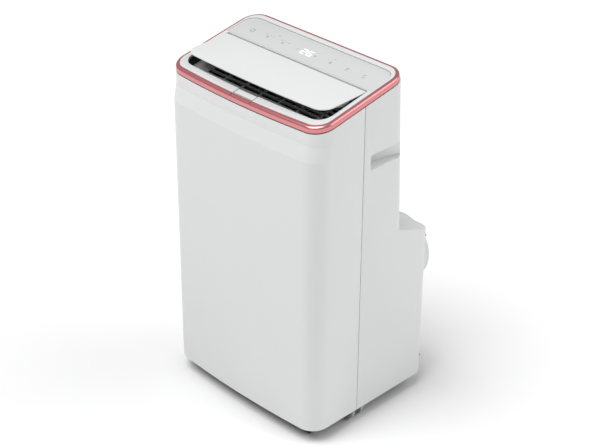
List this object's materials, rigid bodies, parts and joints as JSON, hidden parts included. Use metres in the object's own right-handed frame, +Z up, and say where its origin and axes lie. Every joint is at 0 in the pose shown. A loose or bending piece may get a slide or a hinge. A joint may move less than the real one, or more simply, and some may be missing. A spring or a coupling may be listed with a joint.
{
  "type": "portable air conditioner",
  "caption": "Tall portable air conditioner with a sloped top, open outlet flap, touch panel, rose trim band, side grips, rear hose collar and casters.",
  "frame": {"origin": "on the floor, under the middle of the whole machine, exhaust collar included", "axes": "+Z up; the front looks along -Y; +X to the viewer's right"},
  "size_m": [0.43, 0.381, 0.7778],
  "materials": {
    "casing_white": "satin white moulded plastic",
    "panel_gloss": "glossy printed touch panel",
    "rose_trim": "metallised rose plastic band",
    "dark_plastic": "matte dark grey plastic",
    "black_plastic": "matte black plastic",
    "grey_plastic": "plain grey plastic",
    "wheel_grey": "grey caster tread",
    "foot_rubber": "black rubber",
    "motor_steel": "pressed zinc-plated steel",
    "black_steel": "black stoved paint",
    "pipe_copper": "drawn copper",
    "coil_aluminium": "finned aluminium",
    "circuit_board": "green solder mask",
    "filter_mesh": "fine nylon mesh"
  },
  "bodies": {
    "casing": {"front_panel": "casing_white", "rear_shell": "casing_white", "trim_ring": "rose_trim", "top_cover": "casing_white", "lip_insert": "casing_white", "control_panel": "panel_gloss", "display_board": "circuit_board", "base_pan": "dark_plastic", "front_foot_left": "foot_rubber", "front_foot_right": "foot_rubber", "outlet_duct": "dark_plastic", "outlet_grille": "dark_plastic", "flap_motor": "motor_steel", "vane_motor": "motor_steel", "condenser_grille": "dark_plastic", "exhaust_collar": "casing_white", "cord_hook_left": "casing_white", "cord_hook_right": "casing_white", "cord_gland": "black_plastic", "compressor": "black_steel", "compressor_mount_1": "foot_rubber", "compressor_mount_2": "foot_rubber", "compressor_mount_3": "foot_rubber", "accumulator": "black_steel", "condenser_coil": "coil_aluminium", "evaporator_coil": "coil_aluminium", "condenser_scroll": "grey_plastic", "condenser_motor": "motor_steel", "evaporator_scroll": "grey_plastic", "evaporator_motor": "motor_steel", "partition_tray": "grey_plastic", "splash_motor": "motor_steel", "control_box": "grey_plastic", "discharge_pipe": "pipe_copper", "suction_pipe": "pipe_copper", "liquid_pipe": "pipe_copper"},
    "flap": {"outlet_flap": "casing_white"},
    "intake": {"intake_grille": "casing_white", "air_filter": "filter_mesh"},
    "drain_plug": {"drain_plug": "foot_rubber"},
    "condenser_blower": {"condenser_blower": "black_plastic"},
    "evaporator_blower": {"evaporator_blower": "black_plastic"},
    "splash_wheel": {"splash_wheel": "black_plastic"},
    "vane_link": {"vane_link": "black_plastic"},
    "vane_1": {"vane_1": "black_plastic"},
    "vane_2": {"vane_2": "black_plastic"},
    "vane_3": {"vane_3": "black_plastic"},
    "vane_4": {"vane_4": "black_plastic"},
    "vane_5": {"vane_5": "black_plastic"},
    "vane_6": {"vane_6": "black_plastic"},
    "vane_7": {"vane_7": "black_plastic"},
    "caster_front_left": {"caster_front_left": "grey_plastic"},
    "caster_front_left_wheels": {"caster_front_left_wheels": "wheel_grey"},
    "caster_front_right": {"caster_front_right": "grey_plastic"},
    "caster_front_right_wheels": {"caster_front_right_wheels": "wheel_grey"},
    "caster_rear_left": {"caster_rear_left": "grey_plastic"},
    "caster_rear_left_wheels": {"caster_rear_left_wheels": "wheel_grey"},
    "caster_rear_right": {"caster_rear_right": "grey_plastic"},
    "caster_rear_right_wheels": {"caster_rear_right_wheels": "wheel_grey"}
  },
  "joints": [
    {"name": "flap_hinge", "type": "hinge", "parent": "casing", "child": "flap", "pos_m": [0, -0.02967, 0.75445], "axis": [-1, 0, 0], "range_deg": [-9, 41]},
    {"name": "intake_tilt", "type": "hinge", "parent": "casing", "child": "intake", "pos_m": [0, 0.07815, 0.47167], "axis": [-1, 0, 0], "range_deg": [0, 35]},
    {"name": "drain_plug_pull", "type": "slide", "parent": "casing", "child": "drain_plug", "axis": [0, 1, 0], "range_m": [0, 0.02]},
    {"name": "condenser_blower_spin", "type": "hinge", "parent": "casing", "child": "condenser_blower", "pos_m": [0.072, 0.015, 0.235], "axis": [1, 0, 0], "continuous": true},
    {"name": "evaporator_blower_spin", "type": "hinge", "parent": "casing", "child": "evaporator_blower", "pos_m": [0, -0.113, 0.53], "axis": [0, 1, 0], "continuous": true},
    {"name": "splash_wheel_spin", "type": "hinge", "parent": "casing", "child": "splash_wheel", "pos_m": [-0.06, 0.1005, 0.078], "axis": [0, 1, 0], "continuous": true},
    {"name": "vane_1_swing", "type": "hinge", "parent": "casing", "child": "vane_1", "pos_m": [-0.1542, -0.08585, 0.70867], "axis": [0, -0.1942, 0.981], "range_deg": [-30, 30]},
    {"name": "vane_2_swing", "type": "hinge", "parent": "casing", "child": "vane_2", "pos_m": [-0.1028, -0.08585, 0.70867], "axis": [0, -0.1942, 0.981], "range_deg": [-30, 30]},
    {"name": "vane_3_swing", "type": "hinge", "parent": "casing", "child": "vane_3", "pos_m": [-0.0514, -0.08585, 0.70867], "axis": [0, -0.1942, 0.981], "range_deg": [-30, 30]},
    {"name": "vane_4_swing", "type": "hinge", "parent": "casing", "child": "vane_4", "pos_m": [0, -0.08585, 0.70867], "axis": [0, -0.1942, 0.981], "range_deg": [-30, 30]},
    {"name": "vane_5_swing", "type": "hinge", "parent": "casing", "child": "vane_5", "pos_m": [0.0514, -0.08585, 0.70867], "axis": [0, -0.1942, 0.981], "range_deg": [-30, 30]},
    {"name": "vane_6_swing", "type": "hinge", "parent": "casing", "child": "vane_6", "pos_m": [0.1028, -0.08585, 0.70867], "axis": [0, -0.1942, 0.981], "range_deg": [-30, 30]},
    {"name": "vane_7_swing", "type": "hinge", "parent": "casing", "child": "vane_7", "pos_m": [0.1542, -0.08585, 0.70867], "axis": [0, -0.1942, 0.981], "range_deg": [-30, 30]},
    {"name": "vane_link_slide", "type": "slide", "parent": "casing", "child": "vane_link", "axis": [1, 0, 0], "range_m": [-0.0075, 0.0075]},
    {"name": "caster_front_left_swivel", "type": "hinge", "parent": "casing", "child": "caster_front_left", "pos_m": [-0.176, -0.042, 0.04], "axis": [0, 0, 1], "continuous": true},
    {"name": "caster_front_left_roll", "type": "hinge", "parent": "caster_front_left", "child": "caster_front_left_wheels", "pos_m": [-0.162, -0.042, 0.02], "axis": [0, 1, 0], "continuous": true},
    {"name": "caster_front_right_swivel", "type": "hinge", "parent": "casing", "child": "caster_front_right", "pos_m": [0.176, -0.042, 0.04], "axis": [0, 0, 1], "continuous": true},
    {"name": "caster_front_right_roll", "type": "hinge", "parent": "caster_front_right", "child": "caster_front_right_wheels", "pos_m": [0.19, -0.042, 0.02], "axis": [0, 1, 0], "continuous": true},
    {"name": "caster_rear_left_swivel", "type": "hinge", "parent": "casing", "child": "caster_rear_left", "pos_m": [-0.15, 0.118, 0.04], "axis": [0, 0, 1], "continuous": true},
    {"name": "caster_rear_left_roll", "type": "hinge", "parent": "caster_rear_left", "child": "caster_rear_left_wheels", "pos_m": [-0.136, 0.118, 0.02], "axis": [0, 1, 0], "continuous": true},
    {"name": "caster_rear_right_swivel", "type": "hinge", "parent": "casing", "child": "caster_rear_right", "pos_m": [0.15, 0.118, 0.04], "axis": [0, 0, 1], "continuous": true},
    {"name": "caster_rear_right_roll", "type": "hinge", "parent": "caster_rear_right", "child": "caster_rear_right_wheels", "pos_m": [0.164, 0.118, 0.02], "axis": [0, 1, 0], "continuous": true}
  ],
  "couplings": [
    {"joint": "vane_1_swing", "follows": "vane_7_swing", "ratio": 1},
    {"joint": "vane_2_swing", "follows": "vane_7_swing", "ratio": 1},
    {"joint": "vane_3_swing", "follows": "vane_7_swing", "ratio": 1},
    {"joint": "vane_4_swing", "follows": "vane_7_swing", "ratio": 1},
    {"joint": "vane_5_swing", "follows": "vane_7_swing", "ratio": 1},
    {"joint": "vane_6_swing", "follows": "vane_7_swing", "ratio": 1},
    {"joint": "vane_link_slide", "follows": "vane_7_swing", "m_per_rad": 0.014}
  ]
}
